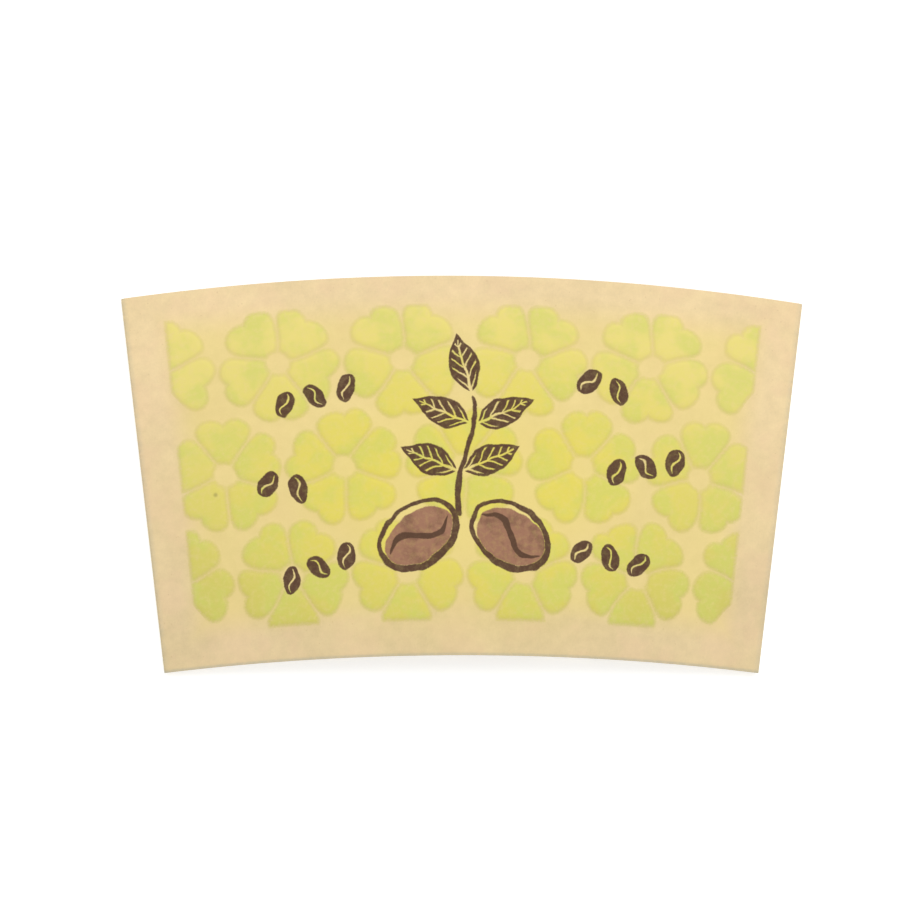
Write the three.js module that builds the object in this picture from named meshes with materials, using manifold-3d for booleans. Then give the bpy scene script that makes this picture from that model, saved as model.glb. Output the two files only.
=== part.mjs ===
import * as THREE from 'three';
import { mergeVertices, toCreasedNormals } from 'three/addons/utils/BufferGeometryUtils.js';
import Module from 'manifold-3d';

// A paperboard sleeve for a hot takeaway cup, as it comes from the pack: one die-cut sheet, folded flat
// at two side folds and glued along a lap on its back. It lies on its back panel, and its front panel
// has sprung up a little, so the sleeve is slightly open from edge to edge.
// Millimetres, +Z up, +X to the right of the front panel and +Y towards the wide edge.
// The origin is on the ground under the middle of the outline.

// The sheet
const WIDE_EDGE_WIDTH = 132.1;      // front panel from fold to fold, along the curved wide edge
const NARROW_EDGE_WIDTH = 113.9;    // the same, along the curved narrow edge
const SLANT_HEIGHT = 73;            // from the narrow edge to the wide edge
const BOARD_THICKNESS = 0.6;

// Folds, spring and glued lap
const FOLD_INSIDE_RADIUS = 0.3;
const FRONT_RISE = 5.5;             // how far the middle of the front panel has sprung up
const LAP_WIDTH = 12;
const LAP_OFFSET = 21;              // from the middle of the back panel to the middle of the lap
const LAP_STEP_LENGTH = 3;          // over this length the inner ply climbs onto the outer one
const GLUE_BITE = 0.02;             // how far the glued plies are pressed into each other

// Embossed and printed field on the front panel
const FIELD_MARGIN_WIDE_EDGE = 5.7;
const FIELD_MARGIN_NARROW_EDGE = 6.9;
const FIELD_MARGIN_FOLD = 6.9;
const EMBOSS_HEIGHT = 0.25;
const EMBOSS_SHOULDER = 0.7;        // width of the sloped shoulder round each petal
const RELIEF_ROOT = 0.05;           // how far a petal's block reaches into the board below its shoulder
const INK_FILM = 0.03;
const INK_BLOCK_DEPTH = 0.12;       // how far a block of ink reaches into the board
const INK_BLOCK_CLEARANCE = 0.15;   // how far it stands above the highest relief

// Blossoms
const BLOSSOM_PITCH_ACROSS = 23;
const BLOSSOM_PITCH_UP = 20.5;
const PETAL_COUNT = 5;
const PETAL_INNER_RADIUS = 2.3;     // the bare round middle of a blossom ends here
const PETAL_OUTER_RADIUS = 10.8;
const PETAL_SHOULDER = 3.2;         // from a petal's widest place to its end
const PETAL_CORNER_WIDTH = 0.94;    // half way round its shoulder, as a share of its greatest width
const PETAL_CORNER_DROP = 0.46;     // how far that place is from its end, as a share of the shoulder
const PETAL_NOTCH = 1;              // depth of the notch in its end
const PETAL_LOBE_SHARE = 0.55;      // place of its two lobes, as a share of its half width
const PETAL_GAP = 0.8;              // bare board between two petals of a blossom

// Drawing in the middle
const BEAN_LENGTH = 17.5;
const BEAN_WIDTH = 12.6;
const BEAN_OUTLINE = 1.1;
const BEAN_CREASE_WIDTH = 1.5;
const BEAN_CREASE_LENGTH = 14;
const BEAN_CREASE_BEND = 6.3;       // how far the handles of its S reach to the sides
const BEAN_SPACING = 18.2;          // between the middles of the two large beans
const BEAN_TILT = THREE.MathUtils.degToRad(33);
const BEANS_BELOW_MIDDLE = 13.5;
const TWIG_HEIGHT = 23;
const TWIG_SWAY = 3.4;              // how far the twig swings to the side on its way up
const TWIG_WIDTH = 1.3;
const TWIG_TAPER = 0.5;             // share of its width that it loses on its way up
const TWIG_FOOT_ABOVE_BEANS = 3.8;  // from the middle of the beans to the foot of the twig
const LEAF_LENGTH = 12.5;
const LEAF_WIDTH = 5.6;
const LEAF_BASE_REACH = 0.25;       // handles of its outline near the stalk and near the tip: how far along
const LEAF_BASE_SWELL = 0.72;       // the leaf, as a share of its length, and how far out, as a share of its
const LEAF_TIP_REACH = 0.7;         // width
const LEAF_TIP_SWELL = 0.62;
const LEAF_STALK = 0.9;             // bare gap between the twig's middle line and a leaf
const LEAF_PAIRS = 2;
const LEAF_LIFT = THREE.MathUtils.degToRad(24);
const FIRST_LEAVES_SHARE = 0.36;    // share of the twig below the lowest leaves
const LAST_LEAVES_SHARE = 0.76;     // share of it below the highest pair

// Small beans on both sides of the drawing
const SMALL_BEAN_LENGTH = 5.4;
const SMALL_BEAN_WIDTH = 3.6;
const SMALL_BEAN_PITCH = 5.9;
const SMALL_BEAN_TURNS = [62, 118]; // degrees from the row's direction, by turns

// Fineness of the faceted surfaces
const FRONT_STRIPS = 14;
const BACK_STRIPS = 8;
const FOLD_STEPS = 6;
const STEP_STRIPS = 3;
const BEAN_CORNERS = 20;
const CREASE_STEPS = 6;
const LEAF_CURVE_STEPS = 4;
const TWIG_STEPS = 6;
const SMALL_BEAN_CORNERS = 8;

// Colours of board and inks, as seen on the board
const BOARD_COLOUR = new THREE.Color('#e8cf9f');
const PETAL_COLOUR = new THREE.Color('#dfd272');
const DARK_INK_COLOUR = new THREE.Color('#5a3d29');
const LIGHT_INK_COLOUR = new THREE.Color('#9c6c53');

// The fan: both curved edges have one centre, and every fold points at it
const narrowRadius = (SLANT_HEIGHT * NARROW_EDGE_WIDTH) / (WIDE_EDGE_WIDTH - NARROW_EDGE_WIDTH);
const middleRadius = narrowRadius + SLANT_HEIGHT / 2;
const middleWidth = (WIDE_EDGE_WIDTH + NARROW_EDGE_WIDTH) / 2;
const halfWidth = middleWidth / 2;

// The folds: a round fold between the flat back panel and the rising edge of the front panel
const foldMiddleRadius = FOLD_INSIDE_RADIUS + BOARD_THICKNESS / 2;
const foldAxisHeight = FOLD_INSIDE_RADIUS + BOARD_THICKNESS;
const frontSlopeAtFold = (Math.PI * FRONT_RISE) / middleWidth;
const foldTurn = Math.PI - Math.atan(frontSlopeAtFold);
const foldLength = foldMiddleRadius * foldTurn;
const lapNearEdge = LAP_OFFSET - LAP_WIDTH / 2;
const lapFarEdge = LAP_OFFSET + LAP_WIDTH / 2;
const lapClimb = BOARD_THICKNESS - GLUE_BITE;

// Distances along the sheet are measured at its middle radius, from the middle of the front panel
const foldEnd = halfWidth + foldLength;
const outerPlyEnd = foldEnd + halfWidth + lapFarEdge;
const innerPlyEnd = foldEnd + halfWidth - lapNearEdge;

function riseAt(along) {
  return FRONT_RISE * Math.cos((Math.PI * along) / middleWidth);
}

function slopeAt(along) {
  return -frontSlopeAtFold * Math.sin((Math.PI * along) / middleWidth);
}

// The height that the inner ply has gained at a place on the back panel
function climbAt(across) {
  const share = THREE.MathUtils.clamp((lapFarEdge + LAP_STEP_LENGTH - across) / LAP_STEP_LENGTH, 0, 1);
  return lapClimb * THREE.MathUtils.smoothstep(share, 0, 1);
}

// Folds one point of the flat sheet: its distance along the sheet, its distance up from the sheet's
// middle line, and its distance outwards from the middle of the board's thickness
function foldPoint(along, up, outwards) {
  const radius = middleRadius + up;
  const side = Math.sign(along) || 1;
  const distance = Math.abs(along);
  const offset = foldMiddleRadius + outwards;
  let panelPlace = halfWidth;
  let sideways;
  let height;
  if (distance <= halfWidth) {
    const lean = Math.atan(slopeAt(distance));
    panelPlace = distance;
    sideways = -offset * Math.sin(lean);
    height = foldAxisHeight + (riseAt(distance) * radius) / middleRadius + offset * Math.cos(lean);
  } else if (distance <= foldEnd) {
    const turned = Math.PI - foldTurn + (distance - halfWidth) / foldMiddleRadius;
    sideways = offset * Math.sin(turned);
    height = foldAxisHeight + offset * Math.cos(turned);
  } else {
    panelPlace = halfWidth - (distance - foldEnd);
    sideways = 0;
    height = foldAxisHeight - offset;
    if (side > 0) {
      height += climbAt(panelPlace);
    }
  }
  const angle = side * (panelPlace / middleRadius + sideways / radius);
  return new THREE.Vector3(radius * Math.sin(angle), radius * Math.cos(angle) - middleRadius, height);
}

// Places along the sheet at which a stretch of it is divided into strips
function divided(from, to, parts) {
  return Array.from({ length: parts + 1 }, (_, i) => THREE.MathUtils.lerp(from, to, i / parts));
}

const wasm = await Module();
wasm.setup();

function toSolid(geometry) {
  geometry.deleteAttribute('normal');
  geometry.deleteAttribute('uv');
  const merged = mergeVertices(geometry, 1e-5);
  return new wasm.Manifold(
    new wasm.Mesh({
      numProp: 3,
      vertProperties: new Float32Array(merged.getAttribute('position').array),
      triVerts: new Uint32Array(merged.index.array),
    }),
  );
}

// A stretch of the flat sheet: a row of blocks, each of which keeps its own number when they are joined,
// so the lines between them stay, and the sheet can be folded along them
function flatSheet(stations) {
  const blocks = stations.slice(1).map((end, i) => {
    const block = new THREE.BoxGeometry(1, SLANT_HEIGHT, BOARD_THICKNESS);
    const position = block.getAttribute('position');
    for (let corner = 0; corner < position.count; corner += 1) {
      position.setX(corner, position.getX(corner) < 0 ? stations[i] : end);
    }
    return toSolid(block).asOriginal();
  });
  return wasm.Manifold.union(blocks);
}

function foldSolid(solid) {
  const { numProp, vertProperties, triVerts, runIndex, runOriginalID } = solid.getMesh();
  for (let i = 0; i < vertProperties.length; i += numProp) {
    const [along, up, outwards] = vertProperties.subarray(i, i + numProp);
    foldPoint(along, up, outwards).toArray(vertProperties, i);
  }
  const folded = new wasm.Mesh({ numProp, vertProperties, triVerts, runIndex, runOriginalID });
  return new wasm.Manifold(folded);
}

// A slab with sloped shoulders, which stands above its footprint by the relief and roots below it
function pillow(shape) {
  const geometry = new THREE.ExtrudeGeometry(shape, {
    depth: RELIEF_ROOT,
    bevelThickness: EMBOSS_HEIGHT,
    bevelSize: EMBOSS_SHOULDER,
    bevelOffset: -EMBOSS_SHOULDER,
    bevelSegments: 1,
  });
  return geometry.translate(0, 0, -RELIEF_ROOT);
}

// One petal, pointing up from the middle of its blossom: straight sides along its neighbours, round
// shoulders and a shallow notch in its end
function petalShape() {
  const halfShare = Math.PI / PETAL_COUNT;
  const shoulderRadius = PETAL_OUTER_RADIUS - PETAL_SHOULDER;
  const halfWidthAt = (radius) => radius * Math.tan(halfShare) - PETAL_GAP / 2 / Math.cos(halfShare);
  const root = halfWidthAt(PETAL_INNER_RADIUS);
  const widest = halfWidthAt(shoulderRadius);
  const right = [
    new THREE.Vector2(root, PETAL_INNER_RADIUS),
    new THREE.Vector2(widest, shoulderRadius),
    new THREE.Vector2(widest * PETAL_CORNER_WIDTH, PETAL_OUTER_RADIUS - PETAL_SHOULDER * PETAL_CORNER_DROP),
    new THREE.Vector2(widest * PETAL_LOBE_SHARE, PETAL_OUTER_RADIUS),
  ];
  const left = right.map((point) => new THREE.Vector2(-point.x, point.y)).reverse();
  const notch = new THREE.Vector2(0, PETAL_OUTER_RADIUS - PETAL_NOTCH);
  return new THREE.Shape([...right, notch, ...left]);
}

// The field's edges, measured from the middle of the front panel
const fieldTop = SLANT_HEIGHT / 2 - FIELD_MARGIN_WIDE_EDGE;
const fieldBottom = -SLANT_HEIGHT / 2 + FIELD_MARGIN_NARROW_EDGE;
const fieldSide = halfWidth - FIELD_MARGIN_FOLD;

function fieldShape() {
  const shape = new THREE.Shape();
  shape.moveTo(-fieldSide, fieldBottom);
  shape.lineTo(fieldSide, fieldBottom);
  shape.lineTo(fieldSide, fieldTop);
  shape.lineTo(-fieldSide, fieldTop);
  shape.closePath();
  return shape;
}

// Where each petal's blossom is and how far it is turned: rows of blossoms, every other row shifted by
// half a pitch and turned over
function petalPlaces() {
  const places = [];
  const petalMiddle = (PETAL_INNER_RADIUS + PETAL_OUTER_RADIUS) / 2;
  const rows = Math.ceil(SLANT_HEIGHT / BLOSSOM_PITCH_UP / 2);
  const columns = Math.ceil(halfWidth / BLOSSOM_PITCH_ACROSS) + 1;
  for (let row = -rows; row <= rows; row += 1) {
    const odd = Math.abs(row) % 2;
    for (let column = -columns; column <= columns; column += 1) {
      const x = (column + odd / 2) * BLOSSOM_PITCH_ACROSS;
      const y = row * BLOSSOM_PITCH_UP;
      for (let petal = 0; petal < PETAL_COUNT; petal += 1) {
        const turn = (2 * Math.PI * petal) / PETAL_COUNT + odd * Math.PI;
        const middleX = x - petalMiddle * Math.sin(turn);
        const middleY = y + petalMiddle * Math.cos(turn);
        if (Math.abs(middleX) < fieldSide && middleY < fieldTop && middleY > fieldBottom) {
          places.push({ x, y, turn });
        }
      }
    }
  }
  return places;
}

// All petals as one solid on the face at z = 0, cut off at the edges of the field
function petalsSolid() {
  const field = toSolid(pillow(fieldShape()));
  const petals = petalPlaces().map(({ x, y, turn }) => {
    const petal = pillow(petalShape()).rotateZ(turn).translate(x, y, 0);
    return toSolid(petal);
  });
  return wasm.Manifold.union(petals).intersect(field).asOriginal();
}

// An outline in ink: its points, moved to their place on the front panel
function placed(points, x, y, turn) {
  const centre = new THREE.Vector2();
  return points.map((point) => point.clone().rotateAround(centre, turn).add(new THREE.Vector2(x, y)));
}

function ellipsePoints(length, width, count) {
  return new THREE.EllipseCurve(0, 0, length / 2, width / 2).getPoints(count).slice(0, count);
}

// The line across a bean: an S that runs from end to end
function creasePoints(length, width, bend, steps) {
  const middle = new THREE.CubicBezierCurve(
    new THREE.Vector2(-length / 2, 0),
    new THREE.Vector2(-length / 5, bend),
    new THREE.Vector2(length / 5, -bend),
    new THREE.Vector2(length / 2, 0),
  );
  return ribbonPoints(middle, (share) => width * Math.sin(Math.PI * share) ** 0.5, steps);
}

// A ribbon along a curve, with a width that changes along it
function ribbonPoints(curve, widthAt, steps) {
  const left = [];
  const right = [];
  for (let i = 0; i <= steps; i += 1) {
    const share = i / steps;
    const point = curve.getPoint(share);
    const tangent = curve.getTangent(share);
    const normal = new THREE.Vector2(-tangent.y, tangent.x).multiplyScalar(widthAt(share) / 2);
    left.push(point.clone().sub(normal));
    if (normal.length() > 1e-6) {
      right.unshift(point.clone().add(normal));
    }
  }
  return left.concat(right);
}

// A leaf along +X from its stalk to its tip
function leafPoints() {
  const shape = new THREE.Shape();
  shape.moveTo(LEAF_STALK, 0);
  shape.bezierCurveTo(
    LEAF_LENGTH * LEAF_BASE_REACH, -LEAF_WIDTH * LEAF_BASE_SWELL,
    LEAF_LENGTH * LEAF_TIP_REACH, -LEAF_WIDTH * LEAF_TIP_SWELL,
    LEAF_LENGTH, 0,
  );
  shape.bezierCurveTo(
    LEAF_LENGTH * LEAF_TIP_REACH, LEAF_WIDTH * LEAF_TIP_SWELL,
    LEAF_LENGTH * LEAF_BASE_REACH, LEAF_WIDTH * LEAF_BASE_SWELL,
    LEAF_STALK, 0,
  );
  return shape.getPoints(LEAF_CURVE_STEPS).slice(0, -1);
}

// The twig: a curve that sways up from between the beans
function twigCurve() {
  const foot = TWIG_FOOT_ABOVE_BEANS - BEANS_BELOW_MIDDLE;
  return new THREE.CubicBezierCurve(
    new THREE.Vector2(-TWIG_SWAY * 0.3, foot),
    new THREE.Vector2(-TWIG_SWAY, foot + TWIG_HEIGHT * 0.35),
    new THREE.Vector2(TWIG_SWAY, foot + TWIG_HEIGHT * 0.6),
    new THREE.Vector2(TWIG_SWAY * 0.4, foot + TWIG_HEIGHT),
  );
}

// Where the leaves grow: pairs along the twig and one at its end
function leafPlaces() {
  const twig = twigCurve();
  const places = [];
  for (let pair = 0; pair < LEAF_PAIRS; pair += 1) {
    const share = THREE.MathUtils.lerp(FIRST_LEAVES_SHARE, LAST_LEAVES_SHARE, pair / Math.max(LEAF_PAIRS - 1, 1));
    const point = twig.getPoint(share);
    places.push({ x: point.x, y: point.y, turn: LEAF_LIFT });
    places.push({ x: point.x, y: point.y, turn: Math.PI - LEAF_LIFT });
  }
  const end = twig.getPoint(1);
  const tangent = twig.getTangent(1);
  places.push({ x: end.x, y: end.y, turn: Math.atan2(tangent.y, tangent.x) });
  return places;
}

// Rows of small beans on both sides of the drawing: middle of the row, number of beans and slant
const SMALL_BEAN_ROWS = [
  { x: -28, y: 14, beans: 3, slant: 12 },
  { x: -35, y: -3, beans: 2, slant: -14 },
  { x: -29, y: -19, beans: 3, slant: 20 },
  { x: 26, y: 16, beans: 2, slant: -16 },
  { x: 35, y: 1, beans: 3, slant: 14 },
  { x: 29, y: -17, beans: 3, slant: -10 },
];

function smallBeanPlaces() {
  return SMALL_BEAN_ROWS.flatMap(({ x, y, beans, slant }) => {
    const direction = THREE.MathUtils.degToRad(slant);
    return Array.from({ length: beans }, (_, i) => {
      const step = (i - (beans - 1) / 2) * SMALL_BEAN_PITCH;
      return {
        x: x + step * Math.cos(direction),
        y: y + step * Math.sin(direction),
        turn: direction + THREE.MathUtils.degToRad(SMALL_BEAN_TURNS[i % 2]),
      };
    });
  });
}

const largeBeanPlaces = [
  { x: -BEAN_SPACING / 2, y: -BEANS_BELOW_MIDDLE, turn: BEAN_TILT },
  { x: BEAN_SPACING / 2, y: -BEANS_BELOW_MIDDLE, turn: -BEAN_TILT },
];

// A stamp of ink: an outline made into a block that reaches through the outer face of the board
function inkBlock(points) {
  const geometry = new THREE.ExtrudeGeometry(new THREE.Shape(points), {
    depth: INK_BLOCK_DEPTH + EMBOSS_HEIGHT + INK_BLOCK_CLEARANCE,
    bevelEnabled: false,
  });
  return toSolid(geometry.translate(0, 0, BOARD_THICKNESS / 2 - INK_BLOCK_DEPTH));
}

function inkSolids() {
  const dark = [];
  const light = [];
  largeBeanPlaces.forEach(({ x, y, turn }) => {
    const bean = (inset) => inkBlock(placed(
      ellipsePoints(BEAN_LENGTH - 2 * inset, BEAN_WIDTH - 2 * inset, BEAN_CORNERS), x, y, turn,
    ));
    const crease = inkBlock(placed(
      creasePoints(BEAN_CREASE_LENGTH, BEAN_CREASE_WIDTH, BEAN_CREASE_BEND, CREASE_STEPS), x, y, turn,
    ));
    dark.push(bean(0).subtract(bean(BEAN_OUTLINE)), crease);
    light.push(bean(BEAN_OUTLINE / 2));
  });
  dark.push(inkBlock(ribbonPoints(twigCurve(), (share) => TWIG_WIDTH * (1 - share * TWIG_TAPER), TWIG_STEPS)));
  leafPlaces().forEach(({ x, y, turn }) => {
    dark.push(inkBlock(placed(leafPoints(), x, y, turn)));
  });
  smallBeanPlaces().forEach(({ x, y, turn }) => {
    const bean = ellipsePoints(SMALL_BEAN_LENGTH, SMALL_BEAN_WIDTH, SMALL_BEAN_CORNERS);
    dark.push(inkBlock(placed(bean, x, y, turn)));
  });
  return { dark: wasm.Manifold.union(dark), light: wasm.Manifold.union(light) };
}

// A film of ink: a copy of the board's face under the ink, laid a little higher on the same board
function printInk(board, ink) {
  const film = board.intersect(ink).translate([0, 0, INK_FILM]).asOriginal();
  return { board: board.add(film), number: film.originalID() };
}

// The sheet is embossed and printed while it is flat, then folded; the end that climbs onto the outer ply
// is folded by itself and glued on
function buildBoard() {
  const climbEnd = foldEnd + halfWidth - lapFarEdge;
  const climbStart = climbEnd - LAP_STEP_LENGTH;
  const stations = [
    ...divided(-outerPlyEnd, -foldEnd, BACK_STRIPS),
    ...divided(-foldEnd, -halfWidth, FOLD_STEPS).slice(1),
    ...divided(-halfWidth, halfWidth, FRONT_STRIPS).slice(1),
    ...divided(halfWidth, foldEnd, FOLD_STEPS).slice(1),
    ...divided(foldEnd, climbStart, BACK_STRIPS / 2).slice(1),
  ];
  const flapStations = [
    ...divided(climbStart, climbEnd, STEP_STRIPS),
    ...divided(climbEnd, innerPlyEnd, 2).slice(1),
  ];
  const petals = petalsSolid();
  const embossed = flatSheet(stations)
    .add(petals.translate([0, 0, BOARD_THICKNESS / 2]))
    .subtract(petals.translate([0, 0, -BOARD_THICKNESS / 2]));
  const inks = inkSolids();
  const light = printInk(embossed, inks.light);
  const dark = printInk(light.board, inks.dark);
  return {
    solid: foldSolid(dark.board).add(foldSolid(flatSheet(flapStations))),
    colours: new Map([
      [petals.originalID(), PETAL_COLOUR],
      [dark.number, DARK_INK_COLOUR],
      [light.number, LIGHT_INK_COLOUR],
    ]),
  };
}

// Vertex colours tint the board's own colour, so each ink is the share of it that the ink lets through
function tintOf(colour) {
  return [colour.r / BOARD_COLOUR.r, colour.g / BOARD_COLOUR.g, colour.b / BOARD_COLOUR.b];
}

function colouredGeometry({ solid, colours }) {
  const mesh = solid.getMesh();
  const indexed = new THREE.BufferGeometry();
  indexed.setAttribute('position', new THREE.BufferAttribute(mesh.vertProperties, 3));
  indexed.setIndex(new THREE.BufferAttribute(mesh.triVerts, 1));
  const geometry = toCreasedNormals(indexed, THREE.MathUtils.degToRad(20));
  const tints = new Float32Array(mesh.triVerts.length * 3);
  mesh.runOriginalID.forEach((number, run) => {
    const tint = tintOf(colours.get(number) ?? BOARD_COLOUR);
    for (let corner = mesh.runIndex[run]; corner < mesh.runIndex[run + 1]; corner += 1) {
      tints.set(tint, corner * 3);
    }
  });
  geometry.setAttribute('color', new THREE.BufferAttribute(tints, 3));
  return geometry;
}

const boardMaterial = new THREE.MeshStandardMaterial({
  color: BOARD_COLOUR,
  roughness: 0.85,
  metalness: 0,
  vertexColors: true,
});

const sleeve = new THREE.Mesh(colouredGeometry(buildBoard()), boardMaterial);
sleeve.name = 'cup_sleeve';

// The fan is built round its middle radius, and then centred on the origin
sleeve.geometry.computeBoundingBox();
sleeve.position.y = -sleeve.geometry.boundingBox.getCenter(new THREE.Vector3()).y;

const object = new THREE.Group();
object.add(sleeve);

export default object;
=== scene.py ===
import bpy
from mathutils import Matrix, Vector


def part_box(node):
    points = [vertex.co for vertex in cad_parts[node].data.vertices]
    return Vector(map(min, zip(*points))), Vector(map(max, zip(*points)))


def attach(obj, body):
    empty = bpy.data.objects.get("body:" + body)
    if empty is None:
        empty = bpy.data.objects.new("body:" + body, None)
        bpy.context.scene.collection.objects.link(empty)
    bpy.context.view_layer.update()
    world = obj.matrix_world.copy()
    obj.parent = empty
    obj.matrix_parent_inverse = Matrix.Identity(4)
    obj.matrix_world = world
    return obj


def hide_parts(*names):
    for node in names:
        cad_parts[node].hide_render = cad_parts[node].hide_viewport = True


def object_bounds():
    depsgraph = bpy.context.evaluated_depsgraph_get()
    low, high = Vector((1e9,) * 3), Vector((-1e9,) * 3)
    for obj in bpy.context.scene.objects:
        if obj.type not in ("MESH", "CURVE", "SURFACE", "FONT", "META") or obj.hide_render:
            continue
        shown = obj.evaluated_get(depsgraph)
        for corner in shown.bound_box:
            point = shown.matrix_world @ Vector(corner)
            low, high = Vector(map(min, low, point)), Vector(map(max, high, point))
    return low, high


bl_info = {
    "name": "Cup Sleeve Maker",
    "version": (1, 0, 0),
    "blender": (4, 5, 0),
    "location": "View3D > Sidebar > Cup Sleeve",
    "description": "Makes a flat-folded paperboard sleeve for a takeaway cup, and the stage it lies on",
    "category": "Add Mesh",
}

import math
from functools import reduce

import bmesh
import bpy
import numpy as np
from bpy.props import FloatProperty, FloatVectorProperty, IntProperty, PointerProperty
from mathutils import Matrix, Vector, noise

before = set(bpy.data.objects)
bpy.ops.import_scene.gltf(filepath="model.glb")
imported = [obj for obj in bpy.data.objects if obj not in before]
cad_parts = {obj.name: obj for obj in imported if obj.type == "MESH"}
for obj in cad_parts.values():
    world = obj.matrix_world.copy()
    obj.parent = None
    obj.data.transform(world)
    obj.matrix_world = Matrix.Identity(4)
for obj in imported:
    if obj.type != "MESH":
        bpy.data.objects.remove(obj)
cad_lowest, cad_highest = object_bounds()

CAD_NODE = "cup_sleeve"
SHEET_UV = "sheet_mm"
MM = 0.001


def length_property(name, description, default_mm):
    return FloatProperty(name=name, description=description, default=default_mm * MM, min=0.0, precision=5,
                         unit="LENGTH")


def colour_property(name, description, code):
    return FloatVectorProperty(name=name, description=description, default=linear_colour(code), min=0.0,
                               max=1.0, size=3, subtype="COLOR")


def linear_colour(code):
    """A colour code such as #e3c897, as the linear values that shaders take."""
    shares = [int(code[i:i + 2], 16) / 255 for i in (1, 3, 5)]
    return tuple(s / 12.92 if s <= 0.04045 else ((s + 0.055) / 1.055) ** 2.4 for s in shares)


class SleeveSheetSizes(bpy.types.PropertyGroup):
    wide_edge_width: length_property("Wide edge", "From fold to fold, along the wide edge", 132.1)
    narrow_edge_width: length_property("Narrow edge", "From fold to fold, along the narrow edge", 113.9)
    slant_height: length_property("Slant height", "From the narrow edge to the wide edge", 73)
    board_thickness: length_property("Board thickness", "Thickness of the paperboard", 0.6)
    cut_edge_round: length_property("Cut edge round", "How far the die-cut edges are rounded off", 0.07)
    fold_inside_radius: length_property("Fold radius", "Inside radius of the two side folds", 0.3)
    front_rise: length_property("Front rise", "How far the middle of the front panel has sprung up", 5.5)
    lap_width: length_property("Lap width", "Width of the glued lap on the back", 12)
    lap_offset: length_property("Lap offset", "From the middle of the back to the middle of the lap", 21)
    lap_step_length: length_property("Lap step", "Length over which the inner ply climbs up", 3)
    glue_bite: length_property("Glue bite", "How far the glued plies are pressed into each other", 0.02)
    waviness: length_property("Waviness", "How far the front panel dips in its shallow waves", 0.12)
    panel_cell: length_property("Panel cell", "Mesh spacing where the board is embossed", 0.5)
    margin_cell: length_property("Margin cell", "Mesh spacing along the plain margins", 1.15)
    back_cell: length_property("Back cell", "Mesh spacing on the back panel", 4)
    fold_steps: IntProperty(name="Fold steps", description="Mesh strips round each fold", default=14, min=4)


class SleeveFieldSizes(bpy.types.PropertyGroup):
    wide_margin: length_property("Wide margin", "Plain board from the field to the wide edge", 5.7)
    narrow_margin: length_property("Narrow margin", "Plain board from the field to the narrow edge", 6.9)
    fold_margin: length_property("Fold margin", "Plain board from the field to each fold", 6.9)
    pitch_across: length_property("Pitch across", "Between two blossoms of one row", 23)
    pitch_up: length_property("Pitch up", "Between two rows of blossoms", 20.5)
    petal_count: IntProperty(name="Petals", description="Petals of one blossom", default=5, min=3, max=8)
    petal_inner_radius: length_property("Petal foot", "Radius of the bare middle of a blossom", 2.3)
    petal_outer_radius: length_property("Petal reach", "Radius of a whole blossom", 10.8)
    petal_lobe_radius: length_property("Lobe radius", "Radius of the two lobes of a petal's end", 3.0)
    petal_lobe_offset: length_property("Lobe offset", "From a petal's middle line to a lobe's middle", 2.1)
    petal_gap: length_property("Petal gap", "Bare board between two petals of a blossom", 0.45)
    petal_waver: length_property("Petal waver", "How far the petals' outlines waver", 0.4)
    emboss_height: length_property("Emboss height", "How far the petals stand up from the board", 0.25)
    emboss_shoulder: length_property("Emboss shoulder", "Width of the rounded shoulder of each petal", 1.1)


class SleeveColours(bpy.types.PropertyGroup):
    board: colour_property("Board", "Plain kraft board", "#edd4a4")
    # Darker than the board as painted shade: it makes the narrow edge look less lit.
    board_low_shade: colour_property("Board, low end", "Kraft board towards the narrow edge", "#e0c99b")
    board_core: colour_property("Board core", "The board's cut edge", "#cdb68a")
    petal_ink: colour_property("Petal ink", "Green print on the petals", "#ebdb7e")
    # Darker as painted shade towards the narrow edge.
    petal_ink_low_shade: colour_property("Petal ink, low end", "The same towards the narrow edge", "#cdc562")
    # Yellower petal ink in the middle of the field, which paints a pool of light there.
    petal_ink_painted_glow: colour_property("Petal ink, middle", "Yellower print round the drawing", "#e5d65e")
    dark_ink: colour_property("Dark ink", "Lines of the drawing", "#573b28")
    light_ink: colour_property("Light ink", "Filled parts of the drawing", "#a0735a")


class SleeveStageSettings(bpy.types.PropertyGroup):
    floor_width: FloatProperty(name="Floor width", description="Side of the square floor", default=3.0,
                               unit="LENGTH")
    camera_distance: FloatProperty(name="Camera distance", description="From the camera to the panel",
                                   default=0.42, unit="LENGTH")
    camera_pitch: FloatProperty(name="Camera pitch", description="Tilt about the long axis",
                                default=math.radians(-3.04), subtype="ANGLE")
    camera_yaw: FloatProperty(name="Camera yaw", description="Tilt about the short axis",
                              default=math.radians(2.45), subtype="ANGLE")
    camera_roll: FloatProperty(name="Camera roll", description="Turn about the line of sight",
                               default=math.radians(-0.25), subtype="ANGLE")
    camera_lens: FloatProperty(name="Lens", description="Focal length on a 36 mm sensor", default=86.3)
    window_strength: FloatProperty(name="Window light", description="Power of the large lamp in watts",
                                   default=6.4)
    sky_strength: FloatProperty(name="Sky light", description="Strength of the even light all round",
                                default=0.78)


# The fan and its folds. Distances along the sheet are measured at its middle radius, from the middle of the
# front panel; distances up the sheet are measured from its middle line; all in metres.

LAP_STEP_ROWS = 8


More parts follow.
